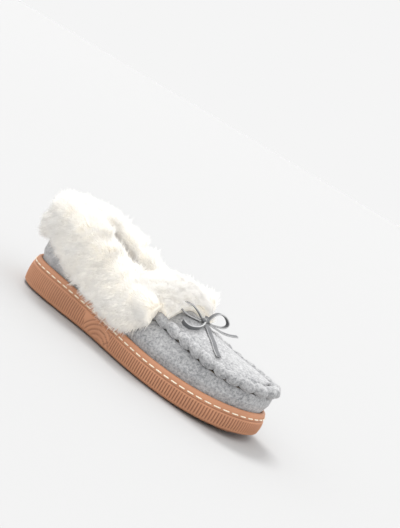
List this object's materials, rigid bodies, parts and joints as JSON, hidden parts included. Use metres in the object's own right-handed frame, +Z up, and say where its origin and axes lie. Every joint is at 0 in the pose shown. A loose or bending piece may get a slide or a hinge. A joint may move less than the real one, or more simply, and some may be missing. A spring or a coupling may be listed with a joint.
{
  "type": "moccasin house slipper",
  "caption": "Moccasin house slipper for the right foot: ribbed rubber cup sole, felt upper with a gathered seam round the top panel, fur collar, fleece lining and a lace bow.",
  "frame": {"origin": "under the middle of the slipper's bounding box, on the floor that the sole stands on", "axes": "+X towards the toe, +Y towards the inner side of the foot, +Z up"},
  "size_m": [0.274, 0.1013, 0.0932],
  "materials": {
    "outsole_rubber": "matte moulded gum rubber with fine ribs",
    "sole_thread": "waxed cream thread",
    "foam": "closed-cell foam",
    "board": "pressed fibre board",
    "fleece": "short tan fleece",
    "felt": "heathered grey wool felt",
    "stiffener": "stiffened fabric sheet",
    "tape": "woven cotton tape",
    "fur": "long cream pile",
    "lace": "flat grey suede lace",
    "seam_thread": "grey thread"
  },
  "bodies": {
    "root": {"outsole": "outsole_rubber", "sole_stitches": "sole_thread", "midsole_foam": "foam", "insole_board": "board", "footbed_foam": "foam", "footbed_fleece": "fleece", "vamp_wrap": "felt", "gathered_edge": "felt", "gather_stitches": "seam_thread", "plug": "felt", "quarter_lateral": "felt", "quarter_medial": "felt", "heel_counter": "stiffener", "toe_puff": "stiffener", "vamp_lining": "fleece", "plug_lining": "fleece", "lining_lateral": "fleece", "lining_medial": "fleece", "topline_tape": "tape", "collar_lateral": "fur", "collar_medial": "fur", "collar_tongue": "fur", "lace_lead_lateral": "lace", "lace_lead_medial": "lace", "lace_knot": "lace", "lace_loop_lateral": "lace", "lace_loop_medial": "lace", "lace_tail_lateral": "lace", "lace_tail_medial": "lace"}
  },
  "joints": []
}
